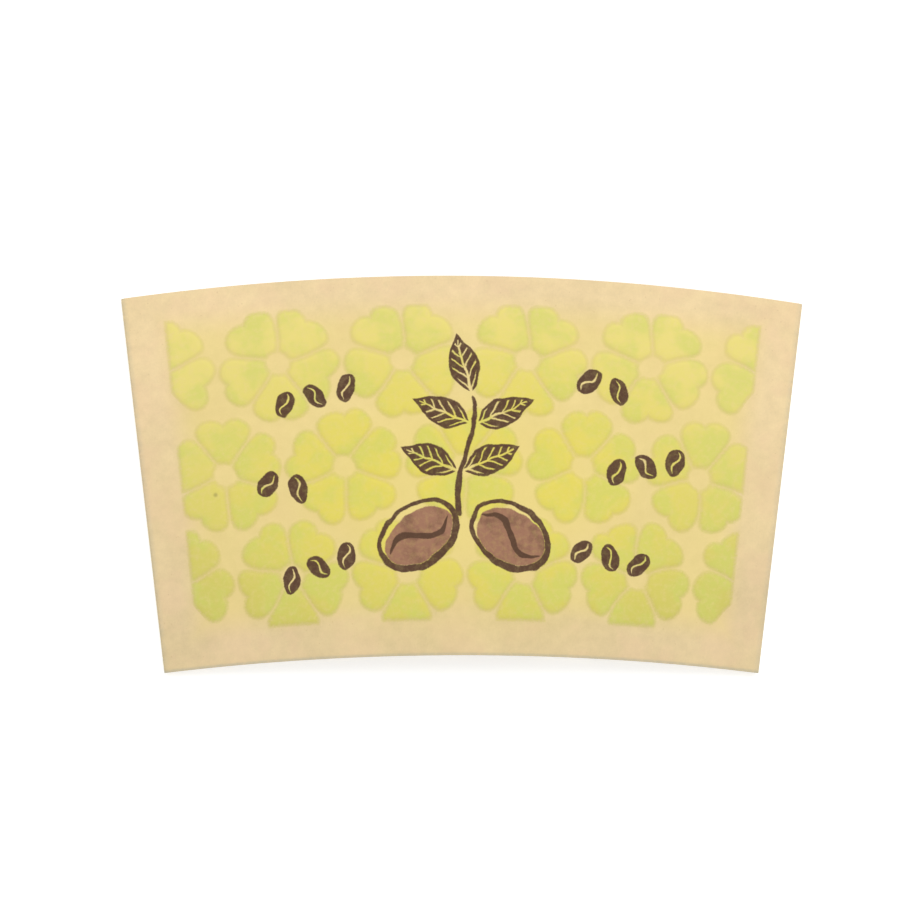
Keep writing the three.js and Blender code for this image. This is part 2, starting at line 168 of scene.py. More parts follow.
class FoldPlan:
    """Where each point of the flat sheet goes when the sleeve is folded and glued."""

    def __init__(self, sizes):
        self.sizes = sizes
        widths = sizes.wide_edge_width - sizes.narrow_edge_width
        self.middle_radius = sizes.slant_height * sizes.narrow_edge_width / widths + sizes.slant_height / 2
        self.middle_width = (sizes.wide_edge_width + sizes.narrow_edge_width) / 2
        self.half_width = self.middle_width / 2
        self.fold_radius = sizes.fold_inside_radius + sizes.board_thickness / 2
        self.fold_axis_height = sizes.fold_inside_radius + sizes.board_thickness
        self.slope_at_fold = math.pi * sizes.front_rise / self.middle_width
        self.fold_turn = math.pi - math.atan(self.slope_at_fold)
        self.lap_near_edge = sizes.lap_offset - sizes.lap_width / 2
        self.lap_far_edge = sizes.lap_offset + sizes.lap_width / 2
        self.fold_end = self.half_width + self.fold_radius * self.fold_turn
        self.outer_ply_end = self.fold_end + self.half_width + self.lap_far_edge
        self.inner_ply_end = self.fold_end + self.half_width - self.lap_near_edge
        self.climb_end = self.fold_end + self.half_width - self.lap_far_edge
        self.climb_start = self.climb_end - sizes.lap_step_length

    def climb(self, across):
        """Height that the inner ply has gained at a place on the back panel."""
        share = (self.lap_far_edge + self.sizes.lap_step_length - across) / self.sizes.lap_step_length
        share = min(max(share, 0.0), 1.0)
        return (self.sizes.board_thickness - self.sizes.glue_bite) * share * share * (3 - 2 * share)

    def folded(self, along, up, outwards):
        radius = self.middle_radius + up
        side = -1.0 if along < 0 else 1.0
        distance = abs(along)
        offset = self.fold_radius + outwards
        panel_place = self.half_width
        if distance <= self.half_width:
            panel_place = distance
            share = math.pi * distance / self.middle_width
            lean = math.atan(-self.slope_at_fold * math.sin(share))
            rise = self.sizes.front_rise * math.cos(share) * radius / self.middle_radius
            sideways = -offset * math.sin(lean)
            height = self.fold_axis_height + rise + offset * math.cos(lean)
        elif distance <= self.fold_end:
            turned = math.pi - self.fold_turn + (distance - self.half_width) / self.fold_radius
            sideways = offset * math.sin(turned)
            height = self.fold_axis_height + offset * math.cos(turned)
        else:
            panel_place = self.half_width - (distance - self.fold_end)
            sideways = 0.0
            height = self.fold_axis_height - offset
            if side > 0:
                height += self.climb(panel_place)
        angle = side * (panel_place / self.middle_radius + sideways / radius)
        return Vector((radius * math.sin(angle), radius * math.cos(angle) - self.middle_radius, height))


def divided(start, end, cell):
    """Places that divide a stretch into equal parts no longer than a cell, without its start."""
    parts = max(1, math.ceil((end - start) / cell - 1e-6))
    return [start + (end - start) * i / parts for i in range(1, parts + 1)]


def columns_of_sheet(sizes, field, plan):
    """Places of the mesh lines that run from edge to edge."""
    field_side = plan.half_width - field.fold_margin
    fold_cell = (plan.fold_end - plan.half_width) / sizes.fold_steps
    places = [-plan.outer_ply_end]
    places += divided(-plan.outer_ply_end, -plan.fold_end, sizes.back_cell)
    places += divided(-plan.fold_end, -plan.half_width, fold_cell)
    places += divided(-plan.half_width, -field_side, sizes.margin_cell)
    places += divided(-field_side, field_side, sizes.panel_cell)
    places += divided(field_side, plan.half_width, sizes.margin_cell)
    places += divided(plan.half_width, plan.fold_end, fold_cell)
    places += divided(plan.fold_end, plan.climb_start, sizes.back_cell)
    places += divided(plan.climb_start, plan.climb_end, sizes.lap_step_length / LAP_STEP_ROWS)
    places += divided(plan.climb_end, plan.inner_ply_end, sizes.back_cell)
    return places


def rows_of_sheet(sizes, field):
    """Places of the mesh lines that run along the sheet."""
    lowest = -sizes.slant_height / 2
    highest = sizes.slant_height / 2
    places = [lowest]
    places += divided(lowest, lowest + field.narrow_margin, sizes.margin_cell)
    places += divided(lowest + field.narrow_margin, highest - field.wide_margin, sizes.panel_cell)
    places += divided(highest - field.wide_margin, highest, sizes.margin_cell)
    return places


# Shader nodes. A Value stands for what a node gives; the usual signs and maths() make more nodes from it.
# Both also work on arrays of numbers, so that one formula serves the mesh and the print.

ARRAY_STEPS = {
    "MAXIMUM": np.maximum,
    "MINIMUM": np.minimum,
    "ROUND": np.round,
    "SINE": np.sin,
    "COSINE": np.cos,
    "ARCTAN2": np.arctan2,
    "SQRT": np.sqrt,
    "GREATER_THAN": lambda first, second: np.where(first > second, 1.0, 0.0),
}


class Value:
    """A number, vector or colour that a shader node gives."""

    def __init__(self, tree, socket):
        self.tree = tree
        self.socket = socket
        self.is_vector = socket.type in ("VECTOR", "RGBA")

    def __add__(self, other):
        return maths("ADD", self, other)

    def __sub__(self, other):
        return maths("SUBTRACT", self, other)

    def __rsub__(self, other):
        return maths("SUBTRACT", other, self)

    def __mul__(self, other):
        return maths("MULTIPLY", self, other)

    def __truediv__(self, other):
        return maths("DIVIDE", self, other)

    def __neg__(self):
        return maths("MULTIPLY", self, -1.0)

    def __abs__(self):
        return maths("ABSOLUTE", self)

    __radd__ = __add__
    __rmul__ = __mul__


def feed(socket, value):
    """Links a Value to a node's input, or sets the input to a plain number or colour."""
    if isinstance(value, Value):
        value.tree.links.new(value.socket, socket)
    else:
        socket.default_value = value


def maths(operation, *values, clamp=False):
    """One step of a formula: a Math or Vector Math node, or the same on arrays of numbers."""
    from_nodes = [value for value in values if isinstance(value, Value)]
    if not from_nodes:
        return ARRAY_STEPS[operation](*values)
    tree = from_nodes[0].tree
    on_vectors = any(value.is_vector for value in from_nodes)
    node = tree.nodes.new("ShaderNodeVectorMath" if on_vectors else "ShaderNodeMath")
    node.operation = operation
    if clamp:
        node.use_clamp = True
    for socket, value in zip(node.inputs, values):
        feed(socket, value)
    gives_vector = on_vectors and operation != "LENGTH"
    return Value(tree, node.outputs["Vector" if gives_vector else "Value"])


def larger(first, second):
    return maths("MAXIMUM", first, second)


def smaller(first, second):
    return maths("MINIMUM", first, second)


def larger_rounded(first, second, rounding):
    """The larger of two distances, with a rounded corner where they are nearly the same."""
    if isinstance(first, Value):
        return maths("SMOOTH_MAX", first, second, rounding)
    nearness = np.maximum(rounding - np.abs(first - second), 0) / rounding
    return np.maximum(first, second) + nearness ** 3 * rounding / 6


def turned(place, middle, angle):
    """A place as seen from a motif with that middle, turned by that angle."""
    node = place.tree.nodes.new("ShaderNodeVectorRotate")
    node.rotation_type = "Z_AXIS"
    feed(node.inputs["Vector"], place - middle)
    feed(node.inputs["Angle"], -angle)
    return Value(place.tree, node.outputs["Vector"])


def parts_of(vector):
    node = vector.tree.nodes.new("ShaderNodeSeparateXYZ")
    feed(node.inputs[0], vector)
    return [Value(vector.tree, output) for output in node.outputs]


def joined(x, y):
    """A flat vector of two numbers."""
    node = x.tree.nodes.new("ShaderNodeCombineXYZ")
    feed(node.inputs["X"], x)
    feed(node.inputs["Y"], y)
    return Value(x.tree, node.outputs[0])


def ramp(value, start, end, low=0.0, high=1.0):
    """A smooth step from low to high between two values."""
    node = value.tree.nodes.new("ShaderNodeMapRange")
    node.interpolation_type = "SMOOTHSTEP"
    for name, number in (("From Min", start), ("From Max", end), ("To Min", low), ("To Max", high)):
        node.inputs[name].default_value = number
    feed(node.inputs["Value"], value)
    return Value(value.tree, node.outputs["Result"])


def speckle(place, scale, detail, roughness, output="Fac"):
    """Noise with a scale in waves to the millimetre."""
    node = place.tree.nodes.new("ShaderNodeTexNoise")
    node.inputs["Scale"].default_value = scale
    node.inputs["Detail"].default_value = detail
    node.inputs["Roughness"].default_value = roughness
    feed(node.inputs["Vector"], place)
    return Value(place.tree, node.outputs[output])


def mixed(factor, first, second):
    """A colour between two others, each a Value or three plain numbers."""
    node = factor.tree.nodes.new("ShaderNodeMix")
    node.data_type = "RGBA"
    feed(node.inputs["Factor"], factor)
    for name, colour in (("A", first), ("B", second)):
        socket = next(s for s in node.inputs if s.name == name and s.type == "RGBA")
        feed(socket, colour if isinstance(colour, Value) else (*colour, 1.0))
    return Value(factor.tree, next(s for s in node.outputs if s.type == "RGBA"))


SOCKET_KINDS = {"value": "NodeSocketFloat", "vector": "NodeSocketVector", "colour": "NodeSocketColor"}


def start_group(name, inputs, outputs):
    """A new shader node group: the group, its inputs as Values and its output sockets."""
    group = bpy.data.node_groups.new(name, "ShaderNodeTree")
    for direction, sockets in (("INPUT", inputs), ("OUTPUT", outputs)):
        for socket_name, kind in sockets.items():
            group.interface.new_socket(name=socket_name, in_out=direction, socket_type=SOCKET_KINDS[kind])
    entry = group.nodes.new("NodeGroupInput")
    exit_node = group.nodes.new("NodeGroupOutput")
    given = {socket_name: Value(group, entry.outputs[socket_name]) for socket_name in inputs}
    return group, given, exit_node.inputs


def place_group(group, place, **values):
    """Puts a node group into the tree of a place and gives its outputs as Values by name."""
    node = place.tree.nodes.new("ShaderNodeGroup")
    node.node_tree = group
    feed(node.inputs["Place"], place)
    for name, value in values.items():
        feed(node.inputs[name.replace("_", " ").capitalize()], value)
    return {output.name: Value(place.tree, output) for output in node.outputs}


# The petals: rows of blossoms, every other row shifted by half a pitch and turned over, in millimetres

PETAL_LOBE_ROUNDING = 1.6
PETAL_FOOT_ROUNDING = 1.2
FIELD_CORNER_ROUNDING = 0.5
FAR_FROM_PETAL = 5.0
WAVER_TURNS = (0.43, 0.31, 0.57)
WAVER_START = 1.1


class PetalPlan:
    """The sizes of the field and its petals in millimetres."""

    def __init__(self, sizes, field, fold_plan):
        self.side = (fold_plan.half_width - field.fold_margin) / MM
        self.highest = (sizes.slant_height / 2 - field.wide_margin) / MM
        self.lowest = (-sizes.slant_height / 2 + field.narrow_margin) / MM
        self.pitch_across = field.pitch_across / MM
        self.pitch_up = field.pitch_up / MM
        self.share = 2 * math.pi / field.petal_count
        self.inner_radius = field.petal_inner_radius / MM
        self.outer_radius = field.petal_outer_radius / MM
        self.lobe_radius = field.petal_lobe_radius / MM
        self.lobe_offset = field.petal_lobe_offset / MM
        self.gap = field.petal_gap / MM
        self.waver = field.petal_waver / MM


def outside_field(petals, along, up):
    """Signed distance to the field's border, negative inside."""
    return larger(abs(along) - petals.side, larger(up - petals.highest, petals.lowest - up))


def nearest_step(value, pitch, start=0.0):
    return maths("ROUND", (value - start) / pitch) * pitch + start


def blossom_rows(petals, along, up, shifted):
    """Signed distance to the petals of every other row of blossoms, negative inside a petal."""
    row_pitch = 2 * petals.pitch_up
    shift_along = petals.pitch_across / 2 if shifted else 0.0
    shift_up = petals.pitch_up if shifted else 0.0
    over = -1.0 if shifted else 1.0
    blossom_along = nearest_step(along, petals.pitch_across, shift_along)
    blossom_up = nearest_step(up, row_pitch, shift_up)
    across = (along - blossom_along) * over
    upwards = (up - blossom_up) * over
    angle = maths("ARCTAN2", across, upwards)
    petal_angle = nearest_step(angle, petals.share)
    inside_angle = abs(angle - petal_angle)
    radius = maths("SQRT", across * across + upwards * upwards)
    beside = radius * maths("SINE", inside_angle)
    outwards = radius * maths("COSINE", inside_angle)
    side = beside * math.cos(petals.share / 2) - outwards * math.sin(petals.share / 2) + petals.gap / 2
    beside_lobe = beside - petals.lobe_offset
    past_lobe = larger(outwards - (petals.outer_radius - petals.lobe_radius), 0.0)
    lobe = maths("SQRT", beside_lobe * beside_lobe + past_lobe * past_lobe) - petals.lobe_radius
    petal = larger_rounded(side, lobe, PETAL_LOBE_ROUNDING)
    petal = larger_rounded(petal, petals.inner_radius - radius, PETAL_FOOT_ROUNDING)
    reach = (petals.inner_radius + petals.outer_radius) / 2 * over
    middle_along = maths("SINE", petal_angle) * reach + blossom_along
    middle_up = maths("COSINE", petal_angle) * reach + blossom_up
    left_out = maths("GREATER_THAN", outside_field(petals, middle_along, middle_up), 0.0)
    return left_out * FAR_FROM_PETAL + petal


def wavered(place, other, amount):
    """A place moved to and fro by long waves, as in a pattern drawn by hand."""
    slow_turn, place_turn, other_turn = WAVER_TURNS
    slow = maths("SINE", other * slow_turn + WAVER_START)
    crossing = maths("SINE", place * place_turn + other * other_turn)
    return (slow + crossing) * (amount / 2) + place


def petal_distance(petals, along, up):
    """Signed distance to the nearest petal's outline, negative inside, cut off at the field's border."""
    wavered_along = wavered(along, up, petals.waver)
    wavered_up = wavered(up, along, petals.waver)
    upright = blossom_rows(petals, wavered_along, wavered_up, False)
    turned_over = blossom_rows(petals, wavered_along, wavered_up, True)
    nearest = smaller(upright, turned_over)
    return larger_rounded(nearest, outside_field(petals, along, up), FIELD_CORNER_ROUNDING)


# The mesh of the sheet, made flat and then folded, in metres

WAVES_PER_METRE = (28, 22)
WAVE_SLICE = 1.3
SHOULDER_OUTSIDE_SHARE = 0.25
RIM_ANGLE = 1.0
SHARP_ANGLE = math.radians(25)
FACES_UP = 0.5
OUTER_FACE, INNER_FACE, CUT_EDGE = range(3)


def smooth_share(values, start, end):
    """Rises smoothly from 0 at the start to 1 at the end."""
    share = np.clip((values - start) / (end - start), 0, 1)
    return share * share * (3 - 2 * share)


def waviness(sizes, plan, along, up):
    """How far the front panel dips at a place, fading out towards the folds."""
    if abs(along) >= plan.half_width:
        return 0.0
    fade = math.cos(math.pi * along / plan.middle_width) ** 0.5
    wave = noise.noise(Vector((along * WAVES_PER_METRE[0], up * WAVES_PER_METRE[1], WAVE_SLICE)))
    return -sizes.waviness * fade * (0.5 + 0.5 * wave)


def edges_turned_by(sheet, angle):
    """The edges whose two faces meet at more than an angle."""
    return [edge for edge in sheet.edges if len(edge.link_faces) == 2 and edge.calc_face_angle() > angle]


def build_sheet_mesh(sizes, field):
    """The flat blank as a thick grid, embossed while flat and then folded into the sleeve."""
    plan = FoldPlan(sizes)
    columns = columns_of_sheet(sizes, field, plan)
    rows = rows_of_sheet(sizes, field)
    column_count = len(columns) - 1
    row_count = len(rows) - 1
    sheet = bmesh.new()
    bmesh.ops.create_grid(sheet, x_segments=column_count, y_segments=row_count, size=1.0)
    for vertex in sheet.verts:
        column = round((vertex.co.x + 1) / 2 * column_count)
        row = round((vertex.co.y + 1) / 2 * row_count)
        vertex.co = (columns[column], rows[row], 0.0)
    bmesh.ops.solidify(sheet, geom=sheet.faces[:], thickness=sizes.board_thickness)
    bmesh.ops.recalc_face_normals(sheet, faces=sheet.faces[:])
    lowest = min(vertex.co.z for vertex in sheet.verts)
    bmesh.ops.translate(sheet, verts=sheet.verts[:], vec=(0, 0, -lowest - sizes.board_thickness / 2))
    sheet.normal_update()
    rim = edges_turned_by(sheet, RIM_ANGLE)
    bmesh.ops.bevel(sheet, geom=rim, offset=sizes.cut_edge_round, offset_type="OFFSET", affect="EDGES",
                    segments=2, profile=0.5, material=-1, clamp_overlap=True)
    sheet.normal_update()
    uv_layer = sheet.loops.layers.uv.new(SHEET_UV)
    for face in sheet.faces:
        face.smooth = True
        if face.normal.z > FACES_UP:
            face.material_index = OUTER_FACE
        elif face.normal.z < -FACES_UP:
            face.material_index = INNER_FACE
        else:
            face.material_index = CUT_EDGE
        for loop in face.loops:
            loop[uv_layer].uv = (loop.vert.co.x / MM, loop.vert.co.y / MM)
    vertices = list(sheet.verts)
    along = np.array([vertex.co.x for vertex in vertices])
    up = np.array([vertex.co.y for vertex in vertices])
    petals = PetalPlan(sizes, field, plan)
    from_edge = petal_distance(petals, along / MM, up / MM) * MM
    shoulder_start = -SHOULDER_OUTSIDE_SHARE * field.emboss_shoulder
    shoulder_end = shoulder_start + field.emboss_shoulder
    relief = field.emboss_height * smooth_share(-from_edge, shoulder_start, shoulder_end)
    for i, vertex in enumerate(vertices):
        dip = waviness(sizes, plan, vertex.co.x, vertex.co.y)
        folded = plan.folded(vertex.co.x, vertex.co.y, vertex.co.z + relief[i])
        folded.z += dip
        vertex.co = folded
    sheet.normal_update()
    for edge in edges_turned_by(sheet, SHARP_ANGLE):
        edge.smooth = False
    cad_low, cad_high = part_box(CAD_NODE)
    middle = (min(v.co.y for v in sheet.verts) + max(v.co.y for v in sheet.verts)) / 2
    bmesh.ops.translate(sheet, verts=sheet.verts[:], vec=(0, (cad_low[1] + cad_high[1]) / 2 - middle, 0))
    mesh = bpy.data.meshes.new("folded_sleeve")
    sheet.to_mesh(mesh)
    sheet.free()
    return mesh


# Board and ink. Their places are in millimetres; a ramp is given by its start, its end and, if they aren't
# 0 and 1, what it gives there.

BROAD_MOTTLING = {"scale": 0.055, "detail": 3.0, "roughness": 0.55}
BROAD_SHARE = 0.55
CLOUDY_MOTTLING = {"scale": 0.42, "detail": 3.0, "roughness": 0.6}
CLOUDY_START = (71.0, 13.0, 5.0)
CLOUDY_SHARE = 0.45
FIBRES = {"scale": 2.6, "detail": 3.0, "roughness": 0.65}
FIBRE_STRETCH = (0.6, 1.3, 1.0)
CROSSING_FIBRES = {"scale": 2.2, "detail": 2.0, "roughness": 0.6}
CROSSING_STRETCH = (1.4, 0.55, 1.0)
WARM_PATCHES = {"scale": 0.13, "detail": 3.0, "roughness": 0.6}
WARM_START = (13.0, 57.0, 2.0)
WARM_RAMP = (0.42, 0.66)
WARM_SHARE = 0.45
WARM_TINT = (0.86, 0.58, 0.38)
FLECK_SCALE = 0.55
FLECK_RAMP = (0.05, 0.1, 0.16, 0.0)
FLECK_TINT = (0.42, 0.24, 0.11)


def make_kraft_group():
    """Colour and height of kraft board: broad mottling, fine fibres, warm patches and a few dark flecks."""
    group, given, result = start_group(
        "Kraft board fibre",
        {"Place": "vector", "Colour": "colour", "Mottling": "value", "Fibres": "value"},
        {"Colour": "colour", "Height": "value"},
    )
    place = given["Place"]
    broad = speckle(place, **BROAD_MOTTLING)
    cloudy = speckle(place + CLOUDY_START, **CLOUDY_MOTTLING)
    fibre = speckle(place * FIBRE_STRETCH, **FIBRES)
    crossing = speckle(place * CROSSING_STRETCH, **CROSSING_FIBRES)
    tone = (broad - 0.5) * BROAD_SHARE + (cloudy - 0.5) * CLOUDY_SHARE
    level = tone * given["Mottling"] + (fibre + crossing - 1.0) * given["Fibres"] + 1.0
    warm = ramp(speckle(place + WARM_START, **WARM_PATCHES), *WARM_RAMP) * given["Mottling"]
    shaded = mixed(warm * WARM_SHARE, given["Colour"] * level, WARM_TINT)
    spots = group.nodes.new("ShaderNodeTexVoronoi")
    spots.inputs["Scale"].default_value = FLECK_SCALE
    spots.inputs["Randomness"].default_value = 1.0
    feed(spots.inputs["Vector"], place)
    fleck = ramp(Value(group, spots.outputs["Distance"]), *FLECK_RAMP)
    feed(result["Colour"], mixed(fleck, shaded, FLECK_TINT))
    feed(result["Height"], (fibre + cloudy) * 0.5)
    return group


EDGE_GRAIN = {"scale": 2.4, "detail": 2.0, "roughness": 0.6}
THIN_INK = {"scale": 0.9, "detail": 4.0, "roughness": 0.7}
THIN_INK_RAMP = (0.42, 0.72)


def make_print_edge_group():
    """A mask of ink with a slightly rough edge, from the signed distance to that edge."""
    group, given, result = start_group(
        "Print edge",
        {"Place": "vector", "Distance": "value", "Softness": "value", "Roughness": "value"},
        {"Mask": "value"},
    )
    rough = speckle(given["Place"], **EDGE_GRAIN) - 0.5
    distance = rough * given["Roughness"] + given["Distance"]
    feed(result["Mask"], ramp(distance / given["Softness"], -1.0, 1.0, 1.0, 0.0))
    return group


def make_ink_group():
    """Print on the board: the ink lets the board's mottling through, and lies thinner in places."""
    group, given, result = start_group(
        "Ink on board",
        {"Place": "vector", "Board": "colour", "Ink": "colour", "Mask": "value", "Thin places": "value"},
        {"Colour": "colour", "Cover": "value"},
    )
    thinned = ramp(speckle(given["Place"], **THIN_INK), *THIN_INK_RAMP) * given["Thin places"]
    cover = given["Mask"] * (1.0 - thinned)
    feed(result["Colour"], mixed(cover, given["Board"], given["Ink"]))
    feed(result["Cover"], cover)
    return group


CREASE_STRETCH = 1.25
CREASE_HALF_LENGTH = 0.4
CREASE_SWAY = 0.144
CREASE_HALF_WIDTH = 0.055


def make_bean_group():
    """A coffee bean seen from above: signed distances to its outline and to the S-shaped line across it."""
    group, given, result = start_group(
        "Bean shape",
        {"Place": "vector", "Middle": "vector", "Turn": "value", "Length": "value", "Width": "value"},
        {"Outline": "value", "Crease": "value"},
    )
    length, width = given["Length"], given["Width"]
    x, y, _ = parts_of(turned(given["Place"], given["Middle"], given["Turn"]))
    reach = maths("LENGTH", joined(x / length, y / width)) * 2.0
    from_middle = maths("LENGTH", joined(x, y))
    feed(result["Outline"], from_middle - from_middle / larger(reach, 0.01))
    crease_share = maths("MULTIPLY_ADD", x / length, CREASE_STRETCH, 0.5, clamp=True)
    middle_line = maths("SINE", crease_share * (2 * math.pi)) * width * CREASE_SWAY
    half_width = maths("SQRT", maths("SINE", crease_share * math.pi)) * width * CREASE_HALF_WIDTH
    crease = abs(y - middle_line) - half_width
    feed(result["Crease"], larger(crease, abs(x) - length * CREASE_HALF_LENGTH))
    return group


SMALL_BEAN_TURN = math.radians(62)
NEXT_BEAN_TURN = math.radians(56)


def make_bean_row_group(bean_group):
    """A short row of small beans in turned pairs: one signed distance, with their creases left bare."""
    group, given, result = start_group(
        "Row of small beans",
        {"Place": "vector", "Middle": "vector", "Slant": "value", "Beans": "value", "Pitch": "value",
         "Length": "value", "Width": "value"},
        {"Distance": "value"},
    )
    x, y, _ = parts_of(turned(given["Place"], given["Middle"], given["Slant"]))
    last = given["Beans"] - 1.0
    step = x / given["Pitch"] + last * 0.5
    index = smaller(larger(maths("ROUND", step), 0.0), last)
    turn = maths("MODULO", index, 2.0) * NEXT_BEAN_TURN + SMALL_BEAN_TURN
    bean = place_group(bean_group, joined((step - index) * given["Pitch"], y), turn=turn,
                       length=given["Length"], width=given["Width"])
    feed(result["Distance"], larger(bean["Outline"], -bean["Crease"]))
    return group


LEAF_FULLEST_POWER = 0.79
LEAF_FULLNESS = 0.51
MIDRIB_HALF_WIDTH = 0.28
MIDRIB_TAPER = 0.2
MIDRIB_END_SHARE = 0.88
MIDRIB_END_SLOPE = 9.0
SIDE_RIB_PITCH = 2.05
SIDE_RIB_SLANT = 1.15
SIDE_RIB_SLOPE = 1.35
SIDE_RIB_HALF_WIDTH = 0.13
SIDE_RIB_FROM_RIM = 0.6
BEFORE_ALL_RIBS = 20.0


def make_leaf_group():
    """A leaf along its own X axis: signed distance to its blade, with its ribs left bare."""
    group, given, result = start_group(
        "Leaf shape",
        {"Place": "vector", "Foot": "vector", "Turn": "value", "Stalk": "value", "Length": "value",
         "Width": "value"},
        {"Distance": "value"},
    )
    stalk, length, width = given["Stalk"], given["Length"], given["Width"]
    x, y, _ = parts_of(turned(given["Place"], given["Foot"], given["Turn"]))
    share = maths("DIVIDE", x - stalk, length - stalk, clamp=True)
    swell = maths("SINE", maths("POWER", share, LEAF_FULLEST_POWER) * math.pi)
    rim = abs(y) - swell * width * LEAF_FULLNESS
    outline = larger(rim, larger(stalk - x, x - length))
    midrib = abs(y) + share * MIDRIB_TAPER - MIDRIB_HALF_WIDTH
    midrib = larger(midrib, (share - MIDRIB_END_SHARE) * MIDRIB_END_SLOPE)
    slanted = x - abs(y) * SIDE_RIB_SLANT
    phase = maths("FRACT", (slanted + BEFORE_ALL_RIBS) / SIDE_RIB_PITCH)
    side_rib = abs(phase - 0.5) * SIDE_RIB_SLOPE - SIDE_RIB_HALF_WIDTH
    side_rib = larger(side_rib, rim + SIDE_RIB_FROM_RIM)
    feed(result["Distance"], larger(outline, -smaller(midrib, side_rib)))
    return group


# The drawing in the middle of the front panel, in millimetres on the flat sheet

BEAN_SIZE = (17.5, 12.6)
BEAN_OUTLINE = 1.15
BEAN_MIDDLES = ((-9.1, -13.5), (9.1, -13.5))
BEAN_TURNS = (math.radians(33), math.radians(-33))
BEAN_OVALS = (((0.0, 0.0), 0.0), ((-0.2, 0.25), BEAN_OUTLINE), ((0.3, -0.6), BEAN_OUTLINE))
TWIG_FOOT = -9.7
TWIG_HEIGHT = 23.0
TWIG_ACROSS = (-1.02, -3.4, 3.4, 1.36)
TWIG_HALF_WIDTH = 0.65
TWIG_TAPER = 0.5
TWIG_END_ROUNDING = 0.9
LEAF_SIZE = (12.5, 5.6)
LEAF_STALK = 0.9
LEAF_LIFT = math.radians(24)
LEAF_PAIR_SHARES = (0.36, 0.76)
SMALL_BEAN_SIZE = (5.4, 3.6)
SMALL_BEAN_PITCH = 5.9
SMALL_BEAN_ROWS = (
    {"middle": (-28.0, 14.0, 0.0), "slant": 12, "beans": 3},
    {"middle": (-35.0, -3.0, 0.0), "slant": -14, "beans": 2},
    {"middle": (-29.0, -19.0, 0.0), "slant": 20, "beans": 3},
    {"middle": (26.0, 16.0, 0.0), "slant": -16, "beans": 2},
    {"middle": (35.0, 1.0, 0.0), "slant": 14, "beans": 3},
    {"middle": (29.0, -17.0, 0.0), "slant": -10, "beans": 3},
)
HAND_WAVER = {"scale": 0.32, "detail": 1.0, "roughness": 0.5, "output": "Color"}
HAND_WAVER_REACH = (1.1, 1.1, 0.0)


def twig_across(share):
    """The twig's place across, a cubic of the share of its height."""
    a, b, c, d = TWIG_ACROSS
    return ((share * (d - 3 * c + 3 * b - a) + 3 * (c - 2 * b + a)) * share + 3 * (b - a)) * share + a


def leaf_places():
    """Foot and turn of each leaf: pairs along the twig and one at its end."""
    places = []
    for share in LEAF_PAIR_SHARES:
        foot = (twig_across(share), TWIG_FOOT + TWIG_HEIGHT * share, 0.0)
        places.append((foot, LEAF_LIFT))
        places.append((foot, math.pi - LEAF_LIFT))
    end_slope = 3 * (TWIG_ACROSS[3] - TWIG_ACROSS[2])
    places.append(((twig_across(1.0), TWIG_FOOT + TWIG_HEIGHT, 0.0), math.atan2(TWIG_HEIGHT, end_slope)))
    return places


def twig_distance(place):
    """Signed distance to the twig, which thins towards its end."""
    x, y, _ = parts_of(place)
    share = maths("DIVIDE", y - TWIG_FOOT, TWIG_HEIGHT, clamp=True)
    half_width = share * (-TWIG_TAPER * TWIG_HALF_WIDTH) + TWIG_HALF_WIDTH
    past_ends = larger(TWIG_FOOT - y, y - (TWIG_FOOT + TWIG_HEIGHT))
    return larger_rounded(abs(x - twig_across(share)) - half_width, past_ends, TWIG_END_ROUNDING)


def make_drawing_group():
    """All lines and filled parts of the drawing: signed distances for the dark and the light ink."""
    bean_group = make_bean_group()
    row_group = make_bean_row_group(bean_group)
    leaf_group = make_leaf_group()
    group, given, result = start_group(
        "Coffee sprig drawing", {"Place": "vector"}, {"Dark": "value", "Light": "value"},
    )
    waver = speckle(given["Place"], **HAND_WAVER) - (0.5, 0.5, 0.5)
    place = given["Place"] + waver * HAND_WAVER_REACH
    dark = [twig_distance(place)]
    light = []
    for (x, y), turn in zip(BEAN_MIDDLES, BEAN_TURNS):
        whole, inner, fill = (
            place_group(bean_group, place, middle=(x + shift_x, y + shift_y, 0.0), turn=turn,
                        length=BEAN_SIZE[0] - 2 * rim, width=BEAN_SIZE[1] - 2 * rim)
            for (shift_x, shift_y), rim in BEAN_OVALS
        )
        dark += [larger(whole["Outline"], -inner["Outline"]), whole["Crease"]]
        light.append(larger(fill["Outline"], inner["Outline"]))
    for foot, turn in leaf_places():
        leaf = place_group(leaf_group, place, foot=foot, turn=turn, stalk=LEAF_STALK,
                           length=LEAF_SIZE[0], width=LEAF_SIZE[1])
        dark.append(leaf["Distance"])
    for row in SMALL_BEAN_ROWS:
        beans = place_group(row_group, place, middle=row["middle"], slant=math.radians(row["slant"]),
                            beans=row["beans"], pitch=SMALL_BEAN_PITCH,
                            length=SMALL_BEAN_SIZE[0], width=SMALL_BEAN_SIZE[1])
        dark.append(beans["Distance"])
    feed(result["Dark"], reduce(smaller, dark))
    feed(result["Light"], reduce(smaller, light))
    return group


# The greyish marks at the die-cut rim are painted shade; at the side folds they are scuffed fibres and
# painted shade.
RUBBED_AND_SHADE_SPECKLE = {"scale": 0.8, "detail": 3.0, "roughness": 0.7}
FOLD_MIDDLE_PAST_PANEL = 0.9
FOLD_SCUFF_AND_SHADE_RAMP = (0.5, 1.5, 1.0, 0.0)
FOLD_RUBBED_RAMP = (0.3, 0.7, 0.35, 1.0)
RIM_SHADE_RAMP = (0.1, 0.8, 1.0, 0.0)
RIM_SHADE_SPECKLE_RAMP = (0.3, 0.6, 0.55, 1.0)


